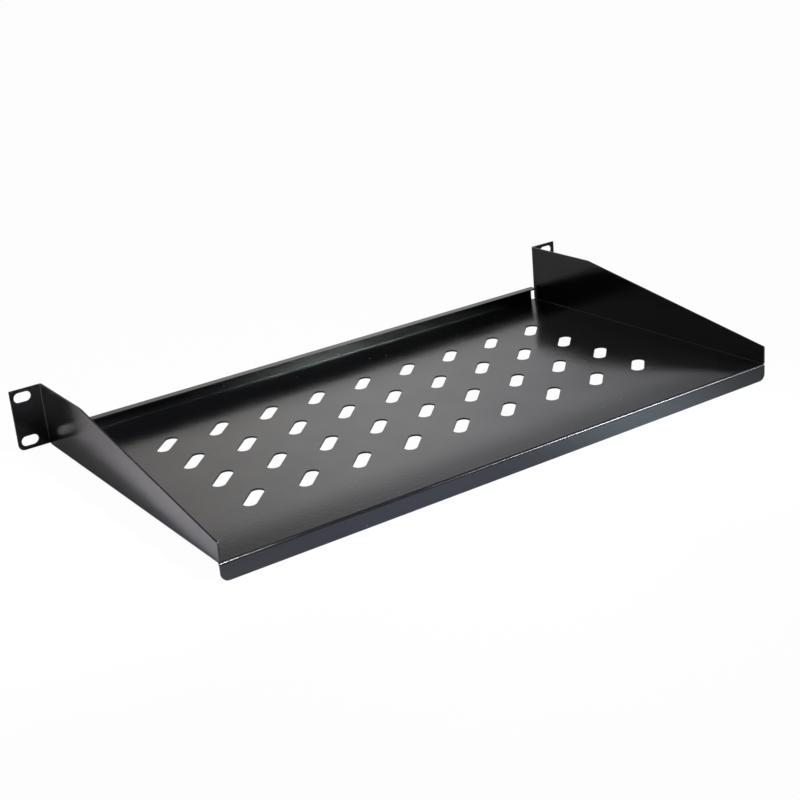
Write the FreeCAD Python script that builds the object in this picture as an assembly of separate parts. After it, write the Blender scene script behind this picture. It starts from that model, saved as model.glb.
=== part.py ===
import FreeCAD, Part
import math
import os

from FreeCAD import Vector

# Cantilever shelf for a 19-inch rack: one steel sheet, punched flat and then folded.
# X runs across the rack, +Y goes into it from the front posts, and +Z is up.
# The origin is the middle of the four ear slots, on the ears' rear face, which meets the posts.

# Sheet and folds, in millimetres
sheet = 1.2             # thickness of the steel
bend_inside = 0.6       # inside radius of every fold

# Rack standard
rack_unit = 44.45       # height of one rack unit
unit_play = 0.8         # height that an ear leaves free, so that neighbours don't rub
ear_span = 482.6        # over both ears
slot_from_side = 8.75   # middle of an ear slot, from the ear's outer edge
slot_from_unit = 6.35   # middle of an ear slot, from the edge of the rack unit
ear_slot_length = 12.5
ear_slot_width = 7.2
ear_corner = 4.0        # round of an ear's lower outer corner

# Tray
ear_reach = 22.4        # an ear, outwards from the side wall's outer face
depth = 250.0           # ears' rear face to the rear lip's outer face, where the side walls end too
level_run = 68.0        # level top of a side wall, from the ear's rear face
wall_end_height = 14.0  # rear end of a side wall, over the shelf's underside
wall_end_corner = 0.5   # round of the side wall's upper rear corner

# Lips
front_lip_height = 12.0  # over the shelf's underside
front_flange = 8.0       # folded in from the front lip, over the shelf
front_lip_gap = 3.3      # between an end of the front lip and the side wall
rear_lip_drop = 12.0     # below the shelf's top face
rear_lip_corner = 5.0    # round of the rear lip's lower corners
corner_relief = 0.3      # slit that keeps a side wall's end clear of the rear lip's fold

# Vent slots, all leaning one way
vent_length = 26.0
vent_width = 9.0
vent_lean = 45.0         # degrees from X towards Y
vent_pitch = 40.0        # both across the shelf and along it
vent_margin = 50.0       # least distance from the shelf's edges to the middle of a slot

# Sizes that follow from those above
bend_outside = bend_inside + sheet
ear_top = (rack_unit - unit_play) / 2
ear_bottom = -ear_top
half_ears = ear_span / 2
half_body = half_ears - ear_reach
underside = ear_bottom - bend_outside
top_face = underside + sheet
front_face = -sheet
wall_fold_end = depth - bend_outside - corner_relief
wall_end_top = underside + wall_end_height
wall_foot = top_face + corner_relief
front_lip_top = underside + front_lip_height
rear_lip_bottom = top_face - rear_lip_drop
inner_half = half_body - sheet

TOLERANCE = 1e-6  # shorter edges are left out


def place(axis, along, a, b):
    """Point (a, b) on the plane square to an axis, at a distance along that axis."""
    if axis == "X":
        return Vector(along, a, b)
    if axis == "Y":
        return Vector(a, along, b)
    return Vector(a, b, along)


def outline(corners, axis, along):
    """Closed wire through corners (a, b, radius), each rounded by its own radius."""
    points = [place(axis, along, a, b) for a, b, radius in corners]
    rounds = []
    for index, corner in enumerate(points):
        radius = corners[index][2]
        back = (points[index - 1] - corner).normalize()
        ahead = (points[(index + 1) % len(points)] - corner).normalize()
        half_angle = back.getAngle(ahead) / 2
        reach = radius / math.tan(half_angle)
        rise = radius / math.sin(half_angle) - radius
        middle = corner + (back + ahead).normalize() * rise
        rounds.append((corner + back * reach, middle, corner + ahead * reach))
    edges = []
    for index, (start, middle, end) in enumerate(rounds):
        previous_end = rounds[index - 1][2]
        if previous_end.distanceToPoint(start) > TOLERANCE:
            edges.append(Part.LineSegment(previous_end, start).toShape())
        if start.distanceToPoint(end) > TOLERANCE:
            edges.append(Part.Arc(start, middle, end).toShape())
    return Part.Wire(edges)


def prism(corners, axis, low, high):
    """Solid with a rounded outline, drawn along an axis from low to high."""
    face = Part.Face(outline(corners, axis, low))
    return face.extrude(place(axis, high - low, 0, 0))


def slot_corners(length, width):
    """Corners of a slot with round ends, lying along the first direction."""
    a = length / 2
    b = width / 2
    return [(-a, -b, b), (a, -b, b), (a, b, b), (-a, b, b)]


def tray():
    """Shelf and both side walls: the folded section, cut to the walls' sloping outline."""
    section = [
        (-half_body, ear_top, 0),
        (-half_body, underside, bend_outside),
        (half_body, underside, bend_outside),
        (half_body, ear_top, 0),
        (inner_half, ear_top, 0),
        (inner_half, top_face, bend_inside),
        (-inner_half, top_face, bend_inside),
        (-inner_half, ear_top, 0),
    ]
    side_view = [
        (bend_inside, underside, 0),
        (wall_fold_end, underside, 0),
        (wall_fold_end, wall_foot, 0),
        (depth, wall_foot, 0),
        (depth, wall_end_top, wall_end_corner),
        (level_run, ear_top, 0),
        (bend_inside, ear_top, 0),
    ]
    folded = prism(section, "Y", bend_inside, depth)
    return folded.common(prism(side_view, "X", -half_body, half_body))


def ear():
    """Right-hand ear, folded outwards from the front end of its side wall."""
    section = [
        (inner_half, bend_inside, 0),
        (inner_half, front_face, bend_outside),
        (half_ears, front_face, 0),
        (half_ears, 0, 0),
        (half_body, 0, bend_inside),
        (half_body, bend_inside, 0),
    ]
    front_view = [
        (inner_half, ear_bottom, 0),
        (half_ears, ear_bottom, ear_corner),
        (half_ears, ear_top, 0),
        (inner_half, ear_top, 0),
    ]
    folded = prism(section, "Z", ear_bottom, ear_top)
    blank = folded.common(prism(front_view, "Y", front_face, bend_inside))
    slot = prism(slot_corners(ear_slot_length, ear_slot_width), "Y", front_face, bend_inside)
    slot_x = half_ears - slot_from_side
    slot_z = rack_unit / 2 - slot_from_unit
    upper = slot.translated(Vector(slot_x, 0, slot_z))
    lower = slot.translated(Vector(slot_x, 0, -slot_z))
    return blank.cut([upper, lower])


def front_lip():
    """Lip folded up at the front, with a flange folded back over the shelf."""
    flange_end = front_face + front_flange
    section = [
        (bend_inside, underside, 0),
        (front_face, underside, bend_outside),
        (front_face, front_lip_top, bend_outside),
        (flange_end, front_lip_top, 0),
        (flange_end, front_lip_top - sheet, 0),
        (0, front_lip_top - sheet, bend_inside),
        (0, top_face, bend_inside),
        (bend_inside, top_face, 0),
    ]
    half_lip = inner_half - front_lip_gap
    return prism(section, "X", -half_lip, half_lip)


def rear_lip():
    """Lip folded down at the rear, as wide as the tray, with a relief cut at each end."""
    section = [
        (wall_fold_end, underside, 0),
        (depth - sheet, underside, bend_inside),
        (depth - sheet, rear_lip_bottom, 0),
        (depth, rear_lip_bottom, 0),
        (depth, top_face, bend_outside),
        (wall_fold_end, top_face, 0),
    ]
    rear_view = [
        (-half_body, rear_lip_bottom, rear_lip_corner),
        (half_body, rear_lip_bottom, rear_lip_corner),
        (half_body, top_face, 0),
        (-half_body, top_face, 0),
    ]
    folded = prism(section, "X", -half_body, half_body)
    lip = folded.common(prism(rear_view, "Y", wall_fold_end, depth))
    fold_start = half_body - bend_outside
    relief_ends = [
        (fold_start, wall_fold_end, 0),
        (half_body, wall_fold_end, 0),
        (half_body, wall_fold_end + corner_relief, 0),
        (fold_start, wall_fold_end + corner_relief, 0),
    ]
    relief = prism(relief_ends, "Z", underside, top_face)
    return lip.cut([relief, mirrored(relief)])


def vents():
    """Vent slots on a square grid, as many as the margin leaves room for."""
    columns = math.floor((2 * inner_half - 2 * vent_margin) / vent_pitch) + 1
    rows = math.floor((depth - front_face - 2 * vent_margin) / vent_pitch) + 1
    middle_y = (front_face + depth) / 2
    slot = prism(slot_corners(vent_length, vent_width), "Z", underside, top_face)
    slot.rotate(Vector(0, 0, 0), Vector(0, 0, 1), vent_lean)
    slots = []
    for row in range(rows):
        y = middle_y + (row - (rows - 1) / 2) * vent_pitch
        for column in range(columns):
            x = (column - (columns - 1) / 2) * vent_pitch
            slots.append(slot.translated(Vector(x, y, 0)))
    return slots


def mirrored(shape):
    """The same shape on the other side of the shelf."""
    return shape.mirror(Vector(0, 0, 0), Vector(1, 0, 0))


def shelf():
    """The whole sheet as one solid: its folded areas joined, then the vents punched."""
    right_ear = ear()
    areas = [front_lip(), rear_lip(), right_ear, mirrored(right_ear)]
    sheet_solid = tray().multiFuse(areas).removeSplitter()
    return sheet_solid.cut(vents())


os.makedirs("parts", exist_ok=True)
shape = shelf()
shape.exportStep("parts/shelf.step")
box = shape.BoundBox
print("shelf", round(box.XLength, 2), "x", round(box.YLength, 2), "x", round(box.ZLength, 2), "mm,",
      round(shape.Volume / 1000, 1), "cm3,", len(shape.Solids), "solid, valid", shape.isValid())
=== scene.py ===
# %% [markdown]
# # A rack shelf folded from one painted steel sheet
#
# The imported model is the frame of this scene: it already holds the folded sheet at its real size, in
# metres. Loading it first, and keeping its box, means that every later step can be measured against the
# real part.

# %% Load the frame
import math

import bmesh
import bpy
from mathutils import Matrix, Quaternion, Vector


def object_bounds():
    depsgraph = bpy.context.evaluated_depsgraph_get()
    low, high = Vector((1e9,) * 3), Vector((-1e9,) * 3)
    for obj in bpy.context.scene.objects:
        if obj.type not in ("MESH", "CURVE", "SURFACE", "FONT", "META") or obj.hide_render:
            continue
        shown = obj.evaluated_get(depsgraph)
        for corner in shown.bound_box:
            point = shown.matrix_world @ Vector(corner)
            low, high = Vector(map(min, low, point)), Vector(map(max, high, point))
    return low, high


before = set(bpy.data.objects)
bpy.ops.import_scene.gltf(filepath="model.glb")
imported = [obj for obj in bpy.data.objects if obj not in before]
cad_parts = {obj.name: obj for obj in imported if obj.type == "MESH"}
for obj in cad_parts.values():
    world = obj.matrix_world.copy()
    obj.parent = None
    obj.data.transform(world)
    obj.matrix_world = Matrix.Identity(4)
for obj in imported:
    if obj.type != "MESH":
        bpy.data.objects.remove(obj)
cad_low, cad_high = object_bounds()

MM = 0.001
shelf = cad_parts["shelf"]
cad_sides = [round(side / MM, 2) for side in cad_high - cad_low]
print("shelf:", cad_sides, "mm,", len(shelf.data.polygons), "faces")

# %% [markdown]
# ## Two helpers
#
# Colours are easiest to pick and compare as sRGB hex values, but shaders work with linear light, so one
# function turns the first into the second. Materials are small networks of nodes. Another function adds
# one node, sets it up and links its inputs, so that each material below reads as a list of what feeds
# what.

# %% Colour and node helpers
ENAMEL_BLACK = "#111113"


def linear(hex_colour):
    """Linear RGBA of an sRGB hex colour such as "#111113"."""
    channels = [int(hex_colour[start:start + 2], 16) / 255 for start in (1, 3, 5)]
    return [c / 12.92 if c <= 0.04045 else ((c + 0.055) / 1.055) ** 2.4 for c in channels] + [1.0]


def add(tree, kind, settings=None, **inputs):
    """Adds a node. Each input is set to a value or linked to another node's output.

    An input goes by its name, with _ for a space, or by its number, as in0, in1 and so on.
    """
    node = tree.nodes.new(kind)
    for name, value in (settings or {}).items():
        setattr(node, name, value)
    for name, value in inputs.items():
        number = name[2:] if name.startswith("in") and name[2:].isdigit() else None
        socket = node.inputs[int(number)] if number else node.inputs[name.replace("_", " ")]
        if isinstance(value, bpy.types.NodeSocket):
            tree.links.new(value, socket)
        else:
            socket.default_value = value
    return node


print("black enamel in linear light:", [round(channel, 4) for channel in linear(ENAMEL_BLACK)[:3]])

# %% [markdown]
# ## The sheet's dip
#
# A thin sheet is never quite flat once it is folded: it dips a little towards its front and rear folds. A
# hand would hardly feel that, but gloss paint shows it at once, because the mirror image bends. Towards
# the front fold the base mirrors more of the dark front lip, and towards the rear fold the dim room above
# the screen. Moving the mesh would change the part's size, so only the shading dips: on the base, the
# normal leans along Y. The slopes were found by matching that mirror image. They are steeper than the
# sheet itself could be, because the room here is simpler than a real one.

# %% Normal of the dipping base
FRONT_DIP = 0.070                       # slope beside the front fold
FRONT_DIP_REACH = (40 * MM, 90 * MM)    # Y at which the slope starts to ease, and at which it ends
REAR_DIP = 0.06                         # slope beside the rear fold
REAR_DIP_REACH = (50 * MM, 5 * MM)      # from the rear edge, where the slope starts and where it is full
REAR_LIP_DROP = 12 * MM                 # rear lip below the base's top face
BASE_TOP = cad_low.z + REAR_LIP_DROP
BASE_LIMIT = BASE_TOP + 1 * MM          # a level face below this height is the base
LEVEL = 0.99                            # least Z of a level face's normal
SMOOTH = {"interpolation_type": "SMOOTHSTEP"}
print("base's top face at Z", round(BASE_TOP / MM, 2), "mm")


def dipping_normal(tree, place):
    flat = add(tree, "ShaderNodeNewGeometry").outputs["Normal"]
    upward = add(tree, "ShaderNodeSeparateXYZ", Vector=flat).outputs["Z"]
    level = add(tree, "ShaderNodeMath", {"operation": "GREATER_THAN"}, in0=upward, in1=LEVEL)
    where = add(tree, "ShaderNodeSeparateXYZ", Vector=place).outputs
    low = add(tree, "ShaderNodeMath", {"operation": "LESS_THAN"}, in0=where["Z"], in1=BASE_LIMIT)
    on_base = add(tree, "ShaderNodeMath", {"operation": "MULTIPLY"}, in0=level.outputs[0],
                  in1=low.outputs[0])
    front = add(tree, "ShaderNodeMapRange", SMOOTH, Value=where["Y"], From_Min=FRONT_DIP_REACH[0],
                From_Max=FRONT_DIP_REACH[1], To_Min=-FRONT_DIP, To_Max=0.0)
    rear = add(tree, "ShaderNodeMapRange", SMOOTH, Value=where["Y"],
               From_Min=cad_high.y - REAR_DIP_REACH[0], From_Max=cad_high.y - REAR_DIP_REACH[1],
               To_Min=0.0, To_Max=REAR_DIP)
    slope = add(tree, "ShaderNodeMath", {"operation": "ADD"}, in0=front.outputs[0], in1=rear.outputs[0])
    slope = add(tree, "ShaderNodeMath", {"operation": "MULTIPLY"}, in0=slope.outputs[0],
                in1=on_base.outputs[0])
    tilt = add(tree, "ShaderNodeCombineXYZ", Y=slope.outputs[0])
    dipped = add(tree, "ShaderNodeVectorMath", {"operation": "ADD"}, in0=flat, in1=tilt.outputs[0])
    return add(tree, "ShaderNodeVectorMath", {"operation": "NORMALIZE"}, in0=dipped.outputs[0]).outputs[0]


# %% [markdown]
# ## The paint
#
# The sheet is pressed steel with a baked black enamel, sprayed on after folding. To the eye it is a deep
# black that shows almost no colour of its own: the greys on it are blurred mirror images of what stands
# around it, faint when seen square on and strong at a low angle. A dielectric shader with the paint's IOR
# gives just that. The sprayed film dries a little wavy, which is called orange peel, and slightly patchy
# in gloss. Both are noise, scaled from their size on the real sheet. On the folds the waves stand higher,
# so that a glint there breaks up into a row of dots. A few specks of dust have settled on the paint: they
# are the points of a Voronoi pattern, which lie scattered through space and show only where one happens
# to lie in the surface.

# %% Baked enamel
ENAMEL_IOR = 1.5
PEEL_WIDTH = 2.6 * MM                   # from crest to crest of the orange peel
PEEL_HEIGHT = 0.060 * MM                # higher than the few microns of the real film, so that it shows
FOLD_PEEL = 2.1                         # times as high on the folds
FOLD_FACING = (0.97, 0.999)             # largest part of the normal on a fold, and on a flat face
PATCH_WIDTH = 35 * MM                   # patches of slightly different gloss
PATCH_RANGE = (0.3, 0.7)                # most of the noise lies between these
ROUGHNESS = (0.13, 0.18)                # glossiest and dullest patches
DUST_GREY = "#5c5c5a"
DUST_APART = 13 * MM                    # between the points of the pattern
DUST_SIZE = (0.30 * MM, 0.55 * MM)      # radius of a speck's core, and of its faint rim
DUST_ROUGHNESS = 0.6


def baked_enamel():
    material = bpy.data.materials.new("black_baked_enamel")
    material.use_nodes = True
    tree = material.node_tree
    tree.nodes.clear()
    place = add(tree, "ShaderNodeTexCoord").outputs["Object"]
    peel = add(tree, "ShaderNodeTexNoise", Vector=place, Scale=1 / PEEL_WIDTH, Detail=3.0, Roughness=0.6)
    facing = add(tree, "ShaderNodeNewGeometry").outputs["Normal"]
    facing = add(tree, "ShaderNodeVectorMath", {"operation": "ABSOLUTE"}, in0=facing).outputs[0]
    facing = add(tree, "ShaderNodeSeparateXYZ", Vector=facing).outputs
    squarest = add(tree, "ShaderNodeMath", {"operation": "MAXIMUM"}, in0=facing["X"], in1=facing["Y"])
    squarest = add(tree, "ShaderNodeMath", {"operation": "MAXIMUM"}, in0=squarest.outputs[0],
                   in1=facing["Z"])
    times = add(tree, "ShaderNodeMapRange", Value=squarest.outputs[0], From_Min=FOLD_FACING[0],
                From_Max=FOLD_FACING[1], To_Min=FOLD_PEEL, To_Max=1.0)
    swing = add(tree, "ShaderNodeMath", {"operation": "SUBTRACT"}, in0=peel.outputs["Fac"], in1=0.5)
    swing = add(tree, "ShaderNodeMath", {"operation": "MULTIPLY"}, in0=swing.outputs[0],
                in1=times.outputs[0])
    wave = add(tree, "ShaderNodeBump", Height=swing.outputs[0], Distance=PEEL_HEIGHT, Strength=1.0,
               Normal=dipping_normal(tree, place))

    points = add(tree, "ShaderNodeTexVoronoi", Vector=place, Scale=1 / DUST_APART)
    dust = add(tree, "ShaderNodeMapRange", Value=points.outputs["Distance"],
               From_Min=DUST_SIZE[0] / DUST_APART, From_Max=DUST_SIZE[1] / DUST_APART,
               To_Min=1.0, To_Max=0.0).outputs[0]
    colour = add(tree, "ShaderNodeMix", {"data_type": "RGBA"}, in0=dust, in6=linear(ENAMEL_BLACK),
                 in7=linear(DUST_GREY))
    patches = add(tree, "ShaderNodeTexNoise", Vector=place, Scale=1 / PATCH_WIDTH, Detail=4.0)
    gloss = add(tree, "ShaderNodeMapRange", Value=patches.outputs["Fac"], From_Min=PATCH_RANGE[0],
                From_Max=PATCH_RANGE[1], To_Min=ROUGHNESS[0], To_Max=ROUGHNESS[1])
    gloss = add(tree, "ShaderNodeMix", {"data_type": "FLOAT"}, in0=dust, in2=gloss.outputs[0],
                in3=DUST_ROUGHNESS)

    paint = add(tree, "ShaderNodeBsdfPrincipled", Base_Color=colour.outputs[2], IOR=ENAMEL_IOR,
                Roughness=gloss.outputs[0], Normal=wave.outputs["Normal"])
    add(tree, "ShaderNodeOutputMaterial", Surface=paint.outputs["BSDF"])
    return material


shelf.data.materials.clear()
shelf.data.materials.append(baked_enamel())
print("painted:", shelf.name, "with", shelf.data.materials[0].name)

# %% [markdown]
# ## The table top
#
# Set down on a table, the shelf rests on the rear lip's lower edge and on the front of its underside, so
# it leans back a little. The part keeps its own frame, so the table leans instead: it passes through both
# of those lines. Seen directly or through the slots, the table's white is mostly its own light, so the
# background stays white. The paint mirrors it mostly as the lamps light it, shadows included, and that
# gives the walls their shades.

# %% White table
TABLE_SIZE = 8.0                # metres each way
TABLE_WHITE = "#f4f4f4"
WHITE_IN_VIEW = 0.975           # share of the table's own light, seen directly or through the slots
WHITE_IN_GLOSS = 0.03           # and seen in the paint
SHEET = 1.2 * MM                # thickness of the shelf's sheet
FRONT_LIP_RADIUS = 1.8 * MM     # outside of the front lip's fold

rear_line = Vector((0, cad_high.y - SHEET, cad_low.z))
front_line = Vector((0, cad_low.y + FRONT_LIP_RADIUS, BASE_TOP - SHEET))
lean = math.atan2(rear_line.z - front_line.z, rear_line.y - front_line.y)

mesh = bpy.data.meshes.new("table")
made = bmesh.new()
bmesh.ops.create_grid(made, x_segments=1, y_segments=1, size=TABLE_SIZE / 2)
made.to_mesh(mesh)
made.free()
table = bpy.data.objects.new("table", mesh)
bpy.context.scene.collection.objects.link(table)
table.location = rear_line
table.rotation_euler = (lean, 0, 0)
print("table leans", round(math.degrees(lean), 2), "degrees")


# %% White laminate
def white_laminate():
    material = bpy.data.materials.new("white_laminate")
    material.use_nodes = True
    tree = material.node_tree
    tree.nodes.clear()
    ray = add(tree, "ShaderNodeLightPath").outputs
    seen = add(tree, "ShaderNodeMath", {"operation": "ADD"}, in0=ray["Is Camera Ray"],
               in1=ray["Is Transmission Ray"])
    gloss = add(tree, "ShaderNodeMath", {"operation": "MULTIPLY"}, in0=ray["Is Glossy Ray"],
                in1=WHITE_IN_GLOSS)
    share = add(tree, "ShaderNodeMath", {"operation": "MULTIPLY_ADD"}, in0=seen.outputs[0],
                in1=WHITE_IN_VIEW, in2=gloss.outputs[0])
    own = add(tree, "ShaderNodeEmission", Color=(1, 1, 1, 1), Strength=1.0)
    matt = add(tree, "ShaderNodeBsdfDiffuse", Color=linear(TABLE_WHITE))
    both = add(tree, "ShaderNodeMixShader", in0=share.outputs[0], in1=matt.outputs[0], in2=own.outputs[0])
    add(tree, "ShaderNodeOutputMaterial", Surface=both.outputs[0])
    return material


table.data.materials.append(white_laminate())
print("table covered with", table.data.materials[0].name)

# %% [markdown]
# ## The studio
#
# Black gloss paint is lit by what it mirrors. The base mirrors what stands low behind the shelf, so a
# bright white screen there gives it its grey. The rest of the room is dim, which keeps the folds and the
# front lip dark. A screen made of a mesh could stand in the way of other views, so both are drawn on the
# world around the scene: the screen is a patch of its sky with soft edges on all four sides. Its light is
# a little warmer on the left than on the right, as it is in a room with a lamp on one side and a window
# on the other, and the base shows that as a change of tint.

# %% White screen behind the shelf
SCREEN_LIGHT = 1.85
ROOM_LIGHT = 0.24
SCREEN_LEFT = (9, 35)           # degrees from -Y towards -X: dim at the first, bright from the second
SCREEN_RIGHT = (30, 55)         # bright up to the first, dim from the second
SCREEN_FOOT = (0.07, 0.50)      # sine of the elevations between which it brightens from its foot
SCREEN_TOP = (0.36, 0.60)       # and between which it fades to the dim room

world = bpy.data.worlds.new("white_screen")
bpy.context.scene.world = world
world.use_nodes = True
tree = world.node_tree
tree.nodes.clear()
direction = add(tree, "ShaderNodeTexCoord").outputs["Generated"]
height = add(tree, "ShaderNodeSeparateXYZ", Vector=direction).outputs["Z"]
behind = add(tree, "ShaderNodeVectorMath", {"operation": "SCALE"}, in0=direction, Scale=-1.0)
behind = add(tree, "ShaderNodeSeparateXYZ", Vector=behind.outputs[0]).outputs
turn = add(tree, "ShaderNodeMath", {"operation": "ARCTAN2"}, in0=behind["X"], in1=behind["Y"]).outputs[0]
left = add(tree, "ShaderNodeMapRange", SMOOTH, Value=turn, From_Min=math.radians(SCREEN_LEFT[0]),
           From_Max=math.radians(SCREEN_LEFT[1]), To_Min=0.0, To_Max=1.0)
right = add(tree, "ShaderNodeMapRange", SMOOTH, Value=turn, From_Min=math.radians(SCREEN_RIGHT[0]),
            From_Max=math.radians(SCREEN_RIGHT[1]), To_Min=1.0, To_Max=0.0)
foot = add(tree, "ShaderNodeMapRange", SMOOTH, Value=height, From_Min=SCREEN_FOOT[0],
           From_Max=SCREEN_FOOT[1], To_Min=0.0, To_Max=1.0)
top = add(tree, "ShaderNodeMapRange", SMOOTH, Value=height, From_Min=SCREEN_TOP[0],
          From_Max=SCREEN_TOP[1], To_Min=SCREEN_LIGHT - ROOM_LIGHT, To_Max=0.0)
print("screen's light", SCREEN_LIGHT, "in a room of", ROOM_LIGHT)

# %% Light of the screen and the room
WARM_SIDE = (24, "#fffcf8")     # degrees from -Y towards -X, and the light's tint up to there
COOL_SIDE = (40, "#fbfbff")     # and from there on

across = add(tree, "ShaderNodeMath", {"operation": "MULTIPLY"}, in0=left.outputs[0], in1=right.outputs[0])
upwards = add(tree, "ShaderNodeMath", {"operation": "MULTIPLY"}, in0=foot.outputs[0], in1=top.outputs[0])
screen = add(tree, "ShaderNodeMath", {"operation": "MULTIPLY_ADD"}, in0=across.outputs[0],
             in1=upwards.outputs[0], in2=ROOM_LIGHT)
ray = add(tree, "ShaderNodeLightPath").outputs
strength = add(tree, "ShaderNodeMath", {"operation": "MAXIMUM"}, in0=screen.outputs[0],
               in1=ray["Is Camera Ray"])
cooler = add(tree, "ShaderNodeMapRange", Value=turn, From_Min=math.radians(WARM_SIDE[0]),
             From_Max=math.radians(COOL_SIDE[0]), To_Min=0.0, To_Max=1.0)
tint = add(tree, "ShaderNodeMix", {"data_type": "RGBA"}, in0=cooler.outputs[0],
           in6=linear(WARM_SIDE[1]), in7=linear(COOL_SIDE[1]))
tint = add(tree, "ShaderNodeMix", {"data_type": "RGBA"}, in0=ray["Is Camera Ray"], in6=tint.outputs[2],
           in7=(1, 1, 1, 1))
surround = add(tree, "ShaderNodeBackground", Color=tint.outputs[2], Strength=strength.outputs[0])
add(tree, "ShaderNodeOutputWorld", Surface=surround.outputs[0])
print("tinted from", WARM_SIDE[1], "to", COOL_SIDE[1])

# %% [markdown]
# ## The soft boxes
#
# One large lamp would light all of the paint alike, so each lamp here serves one thing that the paint
# mirrors. In the picture's words, the key box lights the table beside the left wall, and draws the dotted
# glint on the rear fold's left end. The window box draws the long bright line on that fold's right half.
# The front and table boxes light the table that the rear lip mirrors. The lip box is mirrored by the front
# lip, by way of the base, and the side box by the inside of the right wall. All but the side box have a
# narrow spread, which keeps their light on its own task, as a honeycomb grid does on a real soft box.

# %% Soft boxes
# Name, place and aim, width and height, power in watts, spread in degrees and colour. Lengths in metres.
SOFT_BOXES = [
    ("key_box", (0.03, 0.52, 0.45), (0.36, 0.09, -0.03), (0.08, 0.08), 0.41, 36, "#fff7fb"),
    ("window_box", (-0.87, 0.93, 0.62), (-0.08, 0.30, -0.025), (0.16, 0.70), 0.63, 22, "#eaf4ff"),
    ("front_box", (0.05, 0.75, 0.50), (0.10, 0.30, -0.035), (0.20, 0.20), 0.22, 30, "#cfdcff"),
    ("table_box", (-0.11, 0.40, 0.28), (-0.11, 0.285, -0.035), (0.08, 0.08), 0.095, 34, "#dbf1ff"),
    ("lip_box", (-0.77, 1.16, 0.82), (-0.04, -0.03, -0.015), (0.14, 0.14), 0.135, 18, "#e4f2ec"),
    ("side_box", (1.20, -1.20, 0.60), (0.00, 0.10, -0.02), (1.00, 0.60), 0.49, 180, "#ffffff"),
]

for name, place, aim, sides, power, spread, colour in SOFT_BOXES:
    lamp = bpy.data.lights.new(name, "AREA")
    lamp.shape = "RECTANGLE"
    lamp.size, lamp.size_y = sides
    lamp.energy = power
    lamp.spread = math.radians(spread)
    lamp.color = linear(colour)[:3]
    box = bpy.data.objects.new(name, lamp)
    bpy.context.scene.collection.objects.link(box)
    box.location = place
    box.rotation_euler = (Vector(aim) - box.location).to_track_quat("-Z", "Y").to_euler()
    box.visible_camera = False
    print(name, "at", place, "with", power, "W")

# %% [markdown]
# ## The camera
#
# It looks down on the shelf's free rear end from beyond its +X corner. The values come from a fit to a
# photograph, with the width over the ears as the scale. The shelf lies a little off the lens's axis
# there, which is what the small shift is for.

# %% Camera
CAMERA_PLACE = Vector((517.8, 905.4, 331.9)) * MM
CAMERA_AIM = Vector((21.0, 92.7, -22.4)) * MM
CAMERA_ROLL = -5.76             # degrees
CAMERA_LENS = 64.26             # mm
CAMERA_SENSOR = 36              # mm wide
CAMERA_SHIFT = 0.05             # of the picture's width

lens = bpy.data.cameras.new("camera")
lens.sensor_width = CAMERA_SENSOR
lens.lens = CAMERA_LENS
lens.shift_x = CAMERA_SHIFT
camera = bpy.data.objects.new("camera", lens)
bpy.context.scene.collection.objects.link(camera)
camera.location = CAMERA_PLACE
level = (CAMERA_AIM - CAMERA_PLACE).to_track_quat("-Z", "Y")
camera.rotation_euler = (level @ Quaternion((0, 0, 1), math.radians(CAMERA_ROLL))).to_euler()
bpy.context.scene.camera = camera
bpy.context.scene.view_settings.view_transform = "Standard"
print("camera", round((CAMERA_AIM - CAMERA_PLACE).length, 3), "m from its aim")
